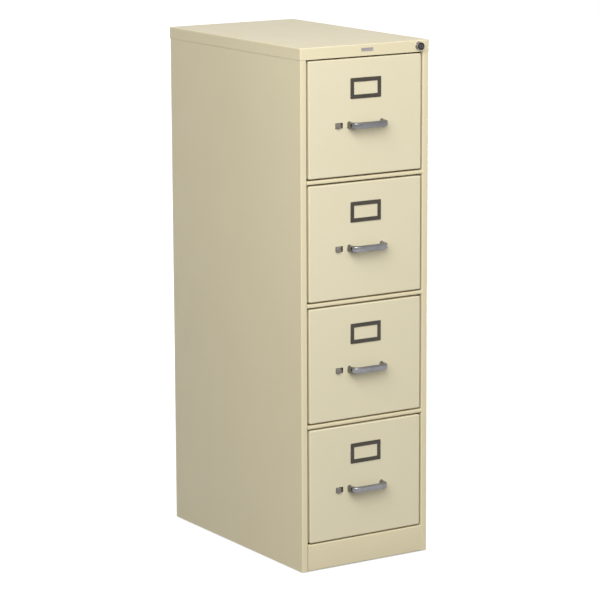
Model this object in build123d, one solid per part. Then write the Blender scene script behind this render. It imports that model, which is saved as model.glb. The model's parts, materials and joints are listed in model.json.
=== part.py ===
from build123d import *
import math
import os

# A four-drawer vertical file cabinet, in millimetres. X runs to the right as seen from the front, Y from
# the front to the back and Z up. The origin lies on the floor, midway between the pulls and the back.

# The whole cabinet.
width = 381.0
depth = 635.0
height = 1321.0

# Sheet metal. A bend radius is the radius of the sheet's middle surface.
case_sheet = 0.9
drawer_sheet = 0.8
slide_steel = 1.2
bend = 2.2
arris = 3.0

# The case.
drawer_count = 4
post_width = 18.5
post_return = 10.0
toe_height = 70.0
cap_skirt = 29.5
cap_gap = 0.1
cap_return = 12.0
rail_height = 9.5
rail_return = 15.0
rim_lift = 2.0
rear_flange = 16.0
rib_width = 30.0
rib_depth = 4.0
rib_spacing = 120.0

# The base channels, the uprights and the button glides under them.
channel_width = 46.0
channel_setback = 17.0
channel_flange = 13.0
channel_gap = 2.0
glide_radius = 12.0
glide_stem = 4.0
glide_stem_length = 9.0
stem_gap = 0.05

# The drawers. A front stands in its opening with a gap above and below and a wider one at each side.
front_gap = 4.0
front_side_gap = 5.5
front_depth = 18.0
corner_radius = 4.0
side_gap = 12.0
tray_height = 250.0
tray_lift = 8.0
tray_rail = 6.8
rear_clearance = 25.0

# The three-part slides, with each size across the drawer counted out from the drawer's side.
slide_thickness = 12.7
slide_height = 45.7
slide_rise = 45.0
slide_setback = 6.0
member_step = 1.1
ball = 3.75
ball_gap = 0.1
lip_reach = 9.5
cage_sheet = 0.5
cage_flange = 0.8
cage_length = 240.0
cage_margin = 10.0
balls_in_row = 5

# The pull.
pull_span = 107.0
pull_reach = 31.0
pull_section = 16.5
pull_thickness = 10.0
pull_round = 4.2
pull_bend = 13.0
pull_rise = 130.5
screw_radius = 2.0
screw_head = 4.0
screw_head_height = 2.5
screw_length = 12.0
screw_gap = 0.05
screw_hole_gap = 0.2

# The label holder.
label_width = 90.0
label_height = 51.5
label_bar = 10.0
label_thickness = 2.2
label_pocket = 0.8
label_lip = 4.0
label_drop = 78.0
label_corner = 2.0

# The thumb latch.
window_height = 14.0
window_x = -78.0
thumb_width = 12.0
thumb_proud = 6.0
window_play = 0.75
latch_travel = 7.0
latch_plate = 2.0
latch_height = 18.0
latch_gap = 0.4
bolt_depth = 3.0
bolt_height = 10.0
bolt_length = 30.0
bolt_gap = 0.5
liner_gap = 1.0
thumb_round = 1.5

# The follower block that keeps the files upright.
follower_width = 296.0
follower_height = 190.0
follower_foot = 60.0
follower_sheet = 1.2
follower_rest = 15.0
follower_gap = 0.2

# The lock.
lock_inset = 31.0
lock_drop = 15.0
lock_radius = 9.4
lock_gap = 0.05
lock_wall = 0.95
bezel_radius = 11.2
bezel_proud = 0.8
sleeve_length = 24.0
plunger_proud = 11.0
plunger_length = 31.0
lock_throw = 10.0
core_radius = 6.0
core_length = 16.0
key_width = 1.6
key_height = 7.0
key_depth = 9.0
tail_radius = 3.0
collar_radius = 5.5
collar_width = 2.0
crank_arm = 14.0
crank_width = 7.0
crank_plate = 2.0
crank_pin = 2.0
fork_pin = 2.5
pin_gap = 0.3
ear_plate = 1.5
ear_gap = 0.5
bar_width = 12.0
bar_plate = 2.0
bar_gap = 1.0
bar_head = 6.0
slot_play = 0.9
finger_height = 8.0
finger_width = 4.0
finger_reach = 9.0
finger_rise = 155.0
finger_gap = 1.5
finger_play = 1.0
tab_reach = 8.0
tab_plate = 3.0

# The blank name plate.
plate_x = 4.5
plate_drop = 13.8
plate_width = 35.0
plate_height = 8.5
plate_thickness = 0.8

# Planes of the case, worked out from the sizes above.
lap = case_sheet + cap_gap
front_y = (pull_reach - depth) / 2
back_y = front_y + depth
post_y = front_y + lap
panel_y = back_y - lap - case_sheet
case_half = width / 2 - lap
wall_x = case_half - case_sheet
opening_half = width / 2 - post_width
cap_under = height - case_sheet
header_z = height - cap_skirt
opening_height = (header_z - toe_height - (drawer_count - 1) * rail_height) / drawer_count
pitch = opening_height + rail_height
channel_y = front_y + channel_setback
rear_channel_y = panel_y - rib_depth - channel_gap - channel_width
base_z = rim_lift + channel_flange

# Planes of a drawer: the front's half width, the tray's half width and the slide's inner and outer faces.
front_half = opening_half - front_side_gap
window_width = thumb_width + latch_travel + 4 * window_play
tray_half = opening_half - side_gap
slide_x = tray_half + slide_thickness
inside_y = front_y + front_depth
slide_y = inside_y + slide_setback
slide_end = panel_y - rear_clearance

# The lock's linkage. The crank turns about an axis along X, and half its turn lies each side of square.
lock_x = width / 2 - lock_inset
lock_z = height - lock_drop
half_turn = math.asin(lock_throw / 2 / crank_arm)
pivot_z = lock_z - crank_arm * (1 + math.cos(half_turn)) / 2
fork_y = front_y + sleeve_length + ear_gap + crank_width / 2
collar_y = fork_y - fork_pin - pin_gap - collar_width
pivot_y = fork_y + lock_throw / 2
sleeve_radius = lock_radius + lock_gap + lock_wall
ear_x = lock_x + sleeve_radius - ear_plate / 2
crank_x = ear_x - ear_gap - crank_plate
bar_y = pivot_y + crank_arm * (1 + math.cos(half_turn)) / 2
bar_x = slide_x + case_sheet + bar_gap
bar_pin_z = pivot_z + lock_throw / 2
upright_top = pivot_z - lock_throw / 2 - crank_pin - finger_gap


def block(x0, x1, y0, y1, z0, z1):
    """A box between two opposite corners."""
    centre = Pos((x0 + x1) / 2, (y0 + y1) / 2, (z0 + z1) / 2)
    return centre * Box(x1 - x0, y1 - y0, z1 - z0)


def rod(radius, start, end, axis):
    """A round bar along X, Y or Z between two points."""
    turn = {"X": Rot(0, 90, 0), "Y": Rot(90, 0, 0), "Z": Rot(0, 0, 0)}[axis]
    middle = [(a + b) / 2 for a, b in zip(start, end)]
    length = math.dist(start, end)
    return Pos(*middle) * turn * Cylinder(radius, length)


def lock_rod(radius, y0, y1):
    """A round bar on the lock's axis, from y0 back to y1."""
    return rod(radius, (lock_x, y0, lock_z), (lock_x, y1, lock_z), "Y")


def sheet_up(points, thickness, z0, z1):
    """A folded sheet: its middle line as seen from above, points (x, y), run from z0 up to z1."""
    section = trace(FilletPolyline(*points, radius=bend), line_width=thickness)
    return extrude(Plane.XY.offset(z0) * section, amount=z1 - z0, dir=(0, 0, 1))


def sheet_back(points, thickness, y0, y1, radius=bend):
    """A folded sheet: its middle line as seen from the front, points (x, z), run from y0 back to y1."""
    section = trace(FilletPolyline(*points, radius=radius), line_width=thickness)
    plane = Plane(origin=(0, y0, 0), x_dir=(1, 0, 0), z_dir=(0, -1, 0))
    return extrude(plane * section, amount=y1 - y0, dir=(0, 1, 0))


def sheet_across(points, thickness, x0, x1):
    """A folded sheet: its middle line as seen from the side, points (y, z), run from x0 right to x1."""
    section = trace(FilletPolyline(*points, radius=bend), line_width=thickness)
    plane = Plane(origin=(x0, 0, 0), x_dir=(0, 1, 0), z_dir=(1, 0, 0))
    return extrude(plane * section, amount=x1 - x0, dir=(1, 0, 0))


def both_sides(shape):
    """A right-hand solid together with its left-hand mirror image."""
    return Compound(shape.solids() + mirror(shape, about=Plane.YZ).solids())


def opening_floor(number):
    """Height of the bottom of a drawer's opening, with drawer 1 at the top."""
    return toe_height + (drawer_count - number) * pitch


def pan(half_width, y0, y1, z0, z1, thickness):
    """A drawer front: a sheet pan, open at the back, with drawn corners and rounded front edges."""
    outer = block(-half_width, half_width, y0, y1, z0, z1)
    outer = fillet(outer.edges().filter_by(Axis.Y), corner_radius)
    outer = fillet(outer.faces().sort_by(Axis.Y)[0].edges(), arris)
    inner_half = half_width - thickness
    room = block(-inner_half, inner_half, y0 + thickness, y1 + thickness, z0 + thickness, z1 - thickness)
    room = fillet(room.edges().filter_by(Axis.Y), corner_radius - thickness)
    room = fillet(room.faces().sort_by(Axis.Y)[0].edges(), arris - thickness)
    return outer - room


def side_panel():
    """The right side of the case, folded in one with its front post and rear flange."""
    half = case_sheet / 2
    points = [
        (opening_half + half, post_y + post_return),
        (opening_half + half, post_y + half),
        (case_half - half, post_y + half),
        (case_half - half, panel_y - half),
        (case_half - rear_flange, panel_y - half),
    ]
    return sheet_up(points, case_sheet, rim_lift, cap_under)


def back_panel():
    """The back, a flat sheet with two pressed ribs, lying on the side panels' rear flanges."""
    flat_y = panel_y + case_sheet / 2
    points = [(arris - case_half, flat_y)]
    for rib_x in (-rib_spacing / 2, rib_spacing / 2):
        points += [
            (rib_x - rib_width / 2, flat_y),
            (rib_x - rib_width / 2 + rib_depth, flat_y - rib_depth),
            (rib_x + rib_width / 2 - rib_depth, flat_y - rib_depth),
            (rib_x + rib_width / 2, flat_y),
        ]
    points += [(case_half - arris, flat_y)]
    return sheet_up(points, case_sheet, rim_lift, cap_under)


def top_cap():
    """The lid over the case, whose front skirt is the header over the top drawer and holds the lock."""
    outer = block(-width / 2, width / 2, front_y, back_y, header_z, height)
    outer = fillet(outer.edges().filter_by(Axis.Z), arris)
    outer = fillet(outer.faces().sort_by(Axis.Z)[-1].edges(), arris)
    room_half = width / 2 - case_sheet
    room = block(
        -room_half, room_half, front_y + case_sheet, back_y - case_sheet, header_z - case_sheet, cap_under
    )
    room = fillet(room.edges().filter_by(Axis.Z), arris - case_sheet)
    lip = block(
        cap_gap - opening_half,
        opening_half - cap_gap,
        front_y + case_sheet / 2,
        front_y + cap_return,
        header_z,
        header_z + case_sheet,
    )
    hole = lock_rod(sleeve_radius + cap_gap, front_y - arris, post_y + arris)
    return outer - room + lip - hole


def toe_plate():
    """The plate under the bottom drawer, folded back at its top and its foot."""
    half = case_sheet / 2
    points = [
        (post_y + rail_return, toe_height - half),
        (post_y + half, toe_height - half),
        (post_y + half, rim_lift + half),
        (post_y + rail_return, rim_lift + half),
    ]
    return sheet_across(points, case_sheet, -opening_half, opening_half)


def cross_rails():
    """The rails between the drawers, each a channel whose ends meet the posts' returns."""
    half = case_sheet / 2
    rails = []
    for number in range(1, drawer_count):
        top = opening_floor(number)
        points = [
            (post_y + rail_return, top - half),
            (post_y + half, top - half),
            (post_y + half, top - rail_height + half),
            (post_y + rail_return, top - rail_height + half),
        ]
        rails += sheet_across(points, case_sheet, -opening_half, opening_half).solids()
    return Compound(rails)


def channel_points(y):
    """The middle line of an upright as seen from above, open towards the side panel."""
    half = case_sheet / 2
    return [
        (wall_x, y + half),
        (slide_x + half, y + half),
        (slide_x + half, y + channel_width - half),
        (wall_x, y + channel_width - half),
    ]


def uprights():
    """Four channels welded inside the side panels, which carry the slides and hide the lock bar."""
    front = sheet_up(channel_points(channel_y), case_sheet, base_z, upright_top)
    rear = sheet_up(channel_points(rear_channel_y), case_sheet, base_z, header_z)
    slotted = front
    for number in range(1, drawer_count + 1):
        foot = finger_foot(number)
        slotted -= block(
            slide_x - case_sheet,
            slide_x + case_sheet * 2,
            bar_y - finger_width / 2 - ear_gap,
            bar_y + finger_width / 2 + ear_gap,
            foot - lock_throw - finger_play,
            foot + finger_height + finger_play,
        )
    left = mirror(front, about=Plane.YZ).solids() + mirror(rear, about=Plane.YZ).solids()
    return Compound(slotted.solids() + rear.solids() + left)


def base_channels():
    """Two channels across the bottom of the case, one under each pair of uprights."""
    half = case_sheet / 2
    channels = []
    for y in (channel_y, rear_channel_y):
        points = [
            (y + half, rim_lift),
            (y + half, base_z - half),
            (y + channel_width - half, base_z - half),
            (y + channel_width - half, rim_lift),
        ]
        channel = sheet_across(points, case_sheet, -wall_x, wall_x)
        for x in (-glide_x(), glide_x()):
            middle = y + channel_width / 2
            channel -= rod(glide_stem + stem_gap, (x, middle, rim_lift), (x, middle, base_z + arris), "Z")
        channels += channel.solids()
    return Compound(channels)


def glide_x():
    """How far a glide's centre lies from the middle of the case."""
    return slide_x - glide_radius


def glides():
    """Four button glides pushed into the base channels, on which the cabinet stands."""
    buttons = []
    for y in (channel_y, rear_channel_y):
        middle = y + channel_width / 2
        for x in (-glide_x(), glide_x()):
            foot = rod(glide_radius, (x, middle, 0), (x, middle, rim_lift * 2), "Z")
            foot = fillet(foot.faces().sort_by(Axis.Z)[0].edges(), rim_lift / 2)
            shoulder = rod(glide_stem * 2, (x, middle, rim_lift), (x, middle, base_z - case_sheet), "Z")
            stem = rod(glide_stem, (x, middle, rim_lift), (x, middle, base_z + glide_stem_length), "Z")
            buttons += (foot + shoulder + stem).solids()
    return Compound(buttons)


def slide_height_at(number):
    """Height of the middle of a drawer's slides."""
    return opening_floor(number) + tray_lift + slide_rise


def slide_member(web_x, lip_x, half_height, z):
    """One right-hand member of a slide, a channel with its web at web_x and its lips out to lip_x."""
    half = slide_steel / 2
    points = [
        (lip_x, z + half_height - half),
        (web_x, z + half_height - half),
        (web_x, z - half_height + half),
        (lip_x, z - half_height + half),
    ]
    return sheet_back(points, slide_steel, slide_y, slide_end, radius=slide_steel)


# Half heights of the three members: a row of balls and its play lie between each and the next.
ball_room = ball + 2 * ball_gap
case_member_half = slide_height / 2
mid_member_half = case_member_half - slide_steel - ball_room
drawer_member_half = mid_member_half - slide_steel - ball_room
case_web_x = slide_x - slide_steel / 2
mid_web_x = case_web_x - slide_steel - member_step
drawer_web_x = tray_half + slide_steel / 2
drawer_lip_x = mid_web_x - slide_steel / 2 - member_step


def case_slides():
    """The outer members, fixed to the uprights."""
    members = []
    for number in range(1, drawer_count + 1):
        lip_x = case_web_x - lip_reach
        member = slide_member(case_web_x, lip_x, case_member_half, slide_height_at(number))
        members += both_sides(member).solids()
    return Compound(members)


def mid_slides(number):
    """The middle members, which run out half as far as the drawer."""
    lip_x = mid_web_x - lip_reach + slide_steel
    return both_sides(slide_member(mid_web_x, lip_x, mid_member_half, slide_height_at(number)))


def drawer_slides(number):
    """The inner members, fixed to the drawer's sides."""
    return both_sides(slide_member(drawer_web_x, drawer_lip_x, drawer_member_half, slide_height_at(number)))


def ball_cage(web_x, lip_x, row_half, y0, z):
    """A right-hand cage with a row of balls above and below, as one solid."""
    points = [(lip_x, z + row_half), (web_x, z + row_half), (web_x, z - row_half), (lip_x, z - row_half)]
    cage = sheet_back(points, cage_sheet, y0, y0 + cage_length, radius=cage_flange)
    spacing = (cage_length - 2 * cage_margin) / (balls_in_row - 1)
    ball_x = lip_x + ball / 2
    for row_z in (z - row_half, z + row_half):
        for place in range(balls_in_row):
            cage += Pos(ball_x, y0 + cage_margin + place * spacing, row_z) * Sphere(ball / 2)
    return cage


def ball_cages(number):
    """Cages each side of the middle member: the outer pair at its back end, the inner at its front."""
    z = slide_height_at(number)
    outer_web = (case_web_x + mid_web_x) / 2
    inner_web = mid_web_x - (slide_steel + member_step) / 2
    outer_row = mid_member_half + ball_room / 2
    inner_row = drawer_member_half + ball_room / 2
    outer_y = slide_end - cage_length - cage_margin
    inner_y = slide_y + cage_margin
    outer = ball_cage(outer_web, case_web_x - lip_reach, outer_row, outer_y, z)
    inner = ball_cage(inner_web, mid_web_x - lip_reach + slide_steel, inner_row, inner_y, z)
    return Compound(both_sides(outer).solids() + both_sides(inner).solids())


def latch_z(number):
    """Height of the latch and the pull of a drawer."""
    return opening_floor(number) + pull_rise


def drawer_front(number):
    """The outer pan of a drawer's front, with its latch window, bolt slot and screw holes."""
    floor = opening_floor(number)
    z = latch_z(number)
    front = pan(
        front_half, front_y, inside_y, floor + front_gap, floor + opening_height - front_gap, drawer_sheet
    )
    window = block(
        window_x - window_width / 2,
        window_x + window_width / 2,
        front_y - arris,
        front_y + arris,
        z - window_height / 2,
        z + window_height / 2,
    )
    slot_half = bolt_height / 2 + bolt_gap
    bolt_y = inside_y - drawer_sheet - liner_gap
    slot = block(
        -front_half - arris,
        arris - front_half,
        bolt_y - bolt_depth - bolt_gap,
        bolt_y + bolt_gap,
        z - slot_half,
        z + slot_half,
    )
    front -= window + slot
    for x in (-foot_x(), foot_x()):
        front -= rod(screw_radius + screw_hole_gap, (x, front_y - arris, z), (x, front_y + arris, z), "Y")
    return front


def foot_x():
    """How far the middle of a pull's foot lies from the middle of the drawer."""
    return (pull_span - pull_thickness) / 2


def drawer_liner(number):
    """The inner panel that closes the back of the drawer's front."""
    floor = opening_floor(number)
    half_width = front_half - drawer_sheet
    edge = front_gap + drawer_sheet
    top = floor + opening_height - edge
    panel = block(-half_width, half_width, inside_y - drawer_sheet, inside_y, floor + edge, top)
    return fillet(panel.edges().filter_by(Axis.Y), corner_radius - drawer_sheet)


def drawer_tray(number):
    """A drawer's body: floor and sides folded in one, file rails, a back and the tab for the lock."""
    half = drawer_sheet / 2
    floor = opening_floor(number) + tray_lift
    top = floor + tray_height
    rail_x = tray_half - tray_rail
    points = [
        (-rail_x, top - tray_rail),
        (-rail_x, top - half),
        (half - tray_half, top - half),
        (half - tray_half, floor + half),
        (tray_half - half, floor + half),
        (tray_half - half, top - half),
        (rail_x, top - half),
        (rail_x, top - tray_rail),
    ]
    tray = sheet_back(points, drawer_sheet, inside_y, slide_end)
    back_half = tray_half - half
    tray += block(-back_half, back_half, slide_end - drawer_sheet, slide_end, floor + half, top - half)
    tab_z = finger_foot(number) - finger_gap
    tab_y = bar_y + finger_width / 2 + finger_gap
    tray += block(
        tray_half - half, tray_half + tab_reach, tab_y, tab_y + tab_plate, tab_z - finger_height, tab_z
    )
    return tray


def drawer_pull(number):
    """The pull, a rounded bar bent back at both ends to meet the drawer's front."""
    z = latch_z(number)
    bar_out = front_y - pull_reach + pull_thickness / 2
    ends = foot_x()
    corners = [(-ends, front_y, z), (-ends, bar_out, z), (ends, bar_out, z), (ends, front_y, z)]
    foot = Plane(origin=corners[0], x_dir=(1, 0, 0), z_dir=(0, -1, 0))
    section = RectangleRounded(pull_thickness, pull_section, pull_round)
    pull = sweep(foot * section, path=FilletPolyline(*corners, radius=pull_bend))
    for x in (-ends, ends):
        pull -= rod(screw_radius + screw_gap, (x, front_y - screw_length, z), (x, front_y + arris, z), "Y")
    return pull


def pull_screws(number):
    """Two screws that hold the pull from inside the drawer's front."""
    z = latch_z(number)
    seat_y = front_y + drawer_sheet
    screws = []
    for x in (-foot_x(), foot_x()):
        shank = rod(screw_radius, (x, seat_y - screw_length, z), (x, seat_y, z), "Y")
        head = rod(screw_head, (x, seat_y, z), (x, seat_y + screw_head_height, z), "Y")
        screws += (shank + fillet(head.faces().sort_by(Axis.Y)[-1].edges(), screw_head_height / 3)).solids()
    return Compound(screws)


def label_holder(number):
    """A stamped frame on the drawer's front, with a pocket behind it for a card put in from the top."""
    z = opening_floor(number) + opening_height - label_drop
    half_width = label_width / 2
    half_height = label_height / 2
    face_y = front_y - label_thickness
    outer = block(-half_width, half_width, face_y, front_y, z - half_height, z + half_height)
    outer = fillet(outer.edges().filter_by(Axis.Y), label_corner)
    outer = chamfer(outer.faces().sort_by(Axis.Y)[0].edges(), label_pocket)
    view = block(
        label_bar - half_width, half_width - label_bar, front_y - arris * 2, front_y + arris,
        z - half_height + label_bar, z + half_height - label_bar,
    )
    card = block(
        label_lip - half_width, half_width - label_lip, front_y - label_pocket, front_y + arris,
        z - half_height + label_lip, z + half_height + arris,
    )
    return outer - view - card


def thumb_latch(number):
    """The latch: a thumb piece in its window, a plate behind the front and a bolt out to the post."""
    z = latch_z(number)
    plate_y = front_y + drawer_sheet + latch_gap
    thumb_x = window_x - window_width / 2 + window_play
    bolt_back = inside_y - drawer_sheet - liner_gap
    bolt_front = bolt_back - bolt_depth
    bolt_start = bolt_gap - opening_half
    bolt_end = bolt_start + bolt_length
    bolt_foot = z - bolt_height / 2
    step_x = bolt_end - latch_plate
    half = latch_height / 2
    thumb = block(
        thumb_x, thumb_x + thumb_width, front_y - thumb_proud, plate_y + latch_plate,
        z - window_height / 2 + window_play, z + window_height / 2 - window_play,
    )
    thumb = fillet(thumb.faces().sort_by(Axis.Y)[0].edges(), thumb_round)
    plate = block(step_x, thumb_x + thumb_width, plate_y, plate_y + latch_plate, z - half, z + half)
    step = block(step_x, bolt_end, plate_y, bolt_back, bolt_foot, bolt_foot + bolt_height)
    bolt = block(bolt_start, bolt_end, bolt_front, bolt_back, bolt_foot, bolt_foot + bolt_height)
    return thumb + plate + step + bolt


def follower(number):
    """The follower block: an upright plate with a foot behind it that lies on the drawer's floor."""
    floor = opening_floor(number) + tray_lift + drawer_sheet + follower_gap + follower_sheet / 2
    plate_y = slide_end - drawer_sheet - follower_rest - follower_foot
    top = floor + follower_height
    points = [
        (plate_y + follower_foot, floor),
        (plate_y, floor),
        (plate_y, top),
        (plate_y + follower_rest, top),
        (plate_y + follower_rest, top - follower_rest),
    ]
    return sheet_across(points, follower_sheet, -follower_width / 2, follower_width / 2)


def name_plate():
    """The small plate beside the lock, with nothing on it."""
    z = height - plate_drop
    plate = block(
        plate_x - plate_width / 2, plate_x + plate_width / 2, front_y - plate_thickness, front_y,
        z - plate_height / 2, z + plate_height / 2,
    )
    return fillet(plate.edges().filter_by(Axis.Y), plate_thickness)


def lock_case():
    """The lock's fixed sleeve and bezel, with the ear that carries the crank's pivot."""
    bezel = lock_rod(bezel_radius, front_y - bezel_proud, front_y)
    bezel = fillet(bezel.faces().sort_by(Axis.Y)[0].edges(), bezel_proud / 2)
    sleeve = lock_rod(sleeve_radius, front_y, front_y + sleeve_length)
    ear = block(
        ear_x, ear_x + ear_plate, front_y + cap_return + ear_gap, pivot_y + crank_width / 2,
        pivot_z - crank_width / 2, lock_z + crank_width / 2,
    )
    pivot_end = ear_x + ear_plate / 2
    pivot = rod(crank_pin, (crank_x - ear_gap, pivot_y, pivot_z), (pivot_end, pivot_y, pivot_z), "X")
    bore = lock_rod(lock_radius + lock_gap, front_y - arris, pivot_y + crank_arm)
    return bezel + sleeve + ear + pivot - bore


def lock_plunger():
    """The push button of the lock, out when unlocked, with a necked tail that works the crank."""
    face_y = front_y - plunger_proud
    tail_end = fork_y + fork_pin + pin_gap + collar_width
    body = lock_rod(lock_radius, face_y, face_y + plunger_length)
    body = fillet(body.faces().sort_by(Axis.Y)[0].edges(), bezel_proud)
    tail = lock_rod(tail_radius, face_y + plunger_length, tail_end)
    front_collar = lock_rod(collar_radius, collar_y, collar_y + collar_width)
    rear_collar = lock_rod(collar_radius, tail_end - collar_width, tail_end)
    bore = lock_rod(core_radius + lock_gap, face_y - arris, face_y + core_length)
    return body + tail + front_collar + rear_collar - bore


def lock_core():
    """The key plug, which turns inside the plunger."""
    face_y = front_y - plunger_proud
    core = lock_rod(core_radius, face_y, face_y + core_length)
    key_way = block(
        lock_x - key_width / 2, lock_x + key_width / 2, face_y - arris, face_y + key_depth,
        lock_z - key_height / 2, lock_z + key_height / 2,
    )
    return core - key_way


def crank_outline(tip):
    """A rounded bar from the crank's pivot to a tip (y, z), as seen from the side."""
    reach = math.dist((pivot_y, pivot_z), tip)
    turn = math.degrees(math.atan2(tip[1] - pivot_z, tip[0] - pivot_y))
    bar = SlotCenterPoint((reach / 2, 0), (reach, 0), crank_width)
    return Pos(pivot_y, pivot_z) * Rot(0, 0, turn) * bar


def lock_crank():
    """The bell crank that turns the plunger's push into the bar's drop."""
    fork_tip = (pivot_y - crank_arm * math.sin(half_turn), pivot_z + crank_arm * math.cos(half_turn))
    bar_tip = (pivot_y + crank_arm * math.cos(half_turn), pivot_z + crank_arm * math.sin(half_turn))
    outline = crank_outline(fork_tip) + crank_outline(bar_tip)
    outline -= Pos(pivot_y, pivot_z) * Circle(crank_pin + lock_gap)
    plane = Plane(origin=(crank_x, 0, 0), x_dir=(0, 1, 0), z_dir=(1, 0, 0))
    crank = extrude(plane * outline, amount=crank_plate, dir=(1, 0, 0))
    fork_end = lock_x + tail_radius + ear_gap
    plate_middle = crank_x + crank_plate / 2
    bar_end = bar_x + bar_plate + ear_gap
    crank += rod(fork_pin, (fork_end, *fork_tip), (plate_middle, *fork_tip), "X")
    crank += rod(crank_pin, (plate_middle, *bar_tip), (bar_end, *bar_tip), "X")
    return crank


def finger_foot(number):
    """Height of the underside of a lock finger while the cabinet is unlocked."""
    return opening_floor(number) + finger_rise


def lock_bar():
    """The bar inside the right front upright, with a finger over each drawer's tab."""
    top = bar_pin_z + bar_head
    foot = finger_foot(drawer_count) - finger_height
    bar = block(bar_x, bar_x + bar_plate, bar_y - bar_width / 2, bar_y + bar_width / 2, foot, top)
    slot = block(
        bar_x - bar_plate, bar_x + bar_plate * 2,
        bar_y - crank_pin - slot_play, bar_y + crank_pin + slot_play,
        bar_pin_z - crank_pin - pin_gap, bar_pin_z + crank_pin + pin_gap,
    )
    bar -= slot
    for number in range(1, drawer_count + 1):
        z = finger_foot(number)
        bar += block(
            slide_x - finger_reach, bar_x + bar_plate / 2,
            bar_y - finger_width / 2, bar_y + finger_width / 2, z, z + finger_height,
        )
    return bar


def case_parts():
    """Every node that stays with the case, and the pieces of its lock."""
    right = side_panel()
    return {
        "side_panel_right": right,
        "side_panel_left": mirror(right, about=Plane.YZ),
        "back_panel": back_panel(),
        "top_cap": top_cap(),
        "toe_plate": toe_plate(),
        "cross_rails": cross_rails(),
        "uprights": uprights(),
        "base_channels": base_channels(),
        "glides": glides(),
        "case_slides": case_slides(),
        "name_plate": name_plate(),
        "lock_case": lock_case(),
        "lock_plunger": lock_plunger(),
        "lock_core": lock_core(),
        "lock_crank": lock_crank(),
        "lock_bar": lock_bar(),
    }


def drawer_parts(number):
    """Every node of one drawer."""
    makers = {
        "front": drawer_front,
        "liner": drawer_liner,
        "tray": drawer_tray,
        "pull": drawer_pull,
        "pull_screws": pull_screws,
        "label_holder": label_holder,
        "latch": thumb_latch,
        "follower": follower,
        "slides": drawer_slides,
        "mid_slides": mid_slides,
        "ball_cages": ball_cages,
    }
    return {f"drawer_{number}_{name}": make(number) for name, make in makers.items()}


os.makedirs("parts", exist_ok=True)
nodes = case_parts()
for drawer_number in range(1, drawer_count + 1):
    nodes.update(drawer_parts(drawer_number))
for node_name, shape in nodes.items():
    export_step(shape, f"parts/{node_name}.step")
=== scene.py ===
"""The looks of a tall four-drawer file cabinet: its pressed steel case and drawer fronts in putty enamel,
bar pulls, stamped label frames, thumb latches and push lock, on a pale studio floor."""

import json
import math

import bmesh
import bpy
import numpy as np
from mathutils import Matrix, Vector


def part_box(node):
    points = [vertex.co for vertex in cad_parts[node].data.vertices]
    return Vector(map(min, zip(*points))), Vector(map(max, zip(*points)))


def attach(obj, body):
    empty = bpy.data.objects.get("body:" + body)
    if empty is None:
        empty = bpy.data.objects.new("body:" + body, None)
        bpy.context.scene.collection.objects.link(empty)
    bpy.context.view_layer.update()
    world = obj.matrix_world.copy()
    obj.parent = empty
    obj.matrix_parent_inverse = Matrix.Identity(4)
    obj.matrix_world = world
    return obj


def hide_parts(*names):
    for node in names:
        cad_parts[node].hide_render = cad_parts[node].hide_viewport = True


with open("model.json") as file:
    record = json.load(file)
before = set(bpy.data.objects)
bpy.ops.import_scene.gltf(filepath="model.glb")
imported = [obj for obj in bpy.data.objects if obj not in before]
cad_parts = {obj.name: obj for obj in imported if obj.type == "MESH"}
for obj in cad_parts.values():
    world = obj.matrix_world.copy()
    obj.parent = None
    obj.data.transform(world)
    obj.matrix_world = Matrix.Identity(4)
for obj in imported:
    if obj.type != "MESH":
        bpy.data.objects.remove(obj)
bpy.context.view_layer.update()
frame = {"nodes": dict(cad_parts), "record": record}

# Shapes are worked out in millimetres and put into the meshes in metres.
MM = 0.001
DRAWERS = (1, 2, 3, 4)

# How finely arcs are divided, the least radius of a corner, the distance within which points are merged, and
# the angle in degrees from which an edge is sharp.
CORNER_STEPS = 8
FOLD_STEPS = 8
BLOCK_STEPS = 3
TURN_STEPS = 48
SMALLEST_CORNER = 0.3
MERGE_DISTANCE = 0.001
SHARP_FROM = 38

# Pressed sheet. A face's flat starts a little inside its bend.
CASE_SHEET = 0.9
FRONT_SHEET = 0.8
PRESS_RADIUS = 3.0
PAN_CORNER = 4.0
FOLD_RADIUS = 2.2
HEM = 0.2
FLAT_INSET = 0.4

# The case: the opening's half width, the posts' and rear flanges' returns, the rails' distance from the
# fronts, and how far from its ends a side has a row of points.
OPENING_HALF = 172.0
POST_RETURN = 10.0
REAR_FLANGE = 16.0
RAIL_GAP = 4.0
SIDE_ROW = 200.0

# The lid, the lip inside its skirt, and the lock's hole, which lies in a square patch of the skirt's cells.
LID_CREASE = 0.1
LID_LIP_HALF = 171.9
LID_LIP_DEPTH = 12.0
LID_LIP_ROUND = 0.3
LOCK_HOLE = 10.5
HOLE_PATCH_HALF = 11.6
HOLE_CELLS = 8

# The latch window and bolt slot in each drawer front. Pairs of growth and depth give the window's edge.
WINDOW_X = -78.0
WINDOW_HALF = 11.0
WINDOW_RISE = 7.0
WINDOW_CORNER = 0.8
WINDOW_EDGE = ((0, 0.4), (0.06, 0.12), (0.25, 0), (0.6, 0))
WINDOW_BACK = 0.1
SLOT_RISE = 5.5
SLOT_FRONT = 12.7
SLOT_BACK = 16.7

# The thumb latch, the plate behind the front that carries it, and its bolt.
THUMB_WIDTH = 12.0
THUMB_RISE = 6.25
THUMB_ROUND = 1.6
THUMB_STEPS = 5
THUMB_RIDGES = 5
RIDGE_DEPTH = 0.45
RIDGE_FADE = 6
RIDGE_POINTS = 61
LATCH_GAP = 0.4
LATCH_PLATE = 2.0
LATCH_RISE = 9.0
LATCH_ROUND = 0.4
BOLT_LENGTH = 30.0
BOLT_RISE = 5.0
BOLT_DEPTH = 3.0
BOLT_ROUND = 0.5

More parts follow.
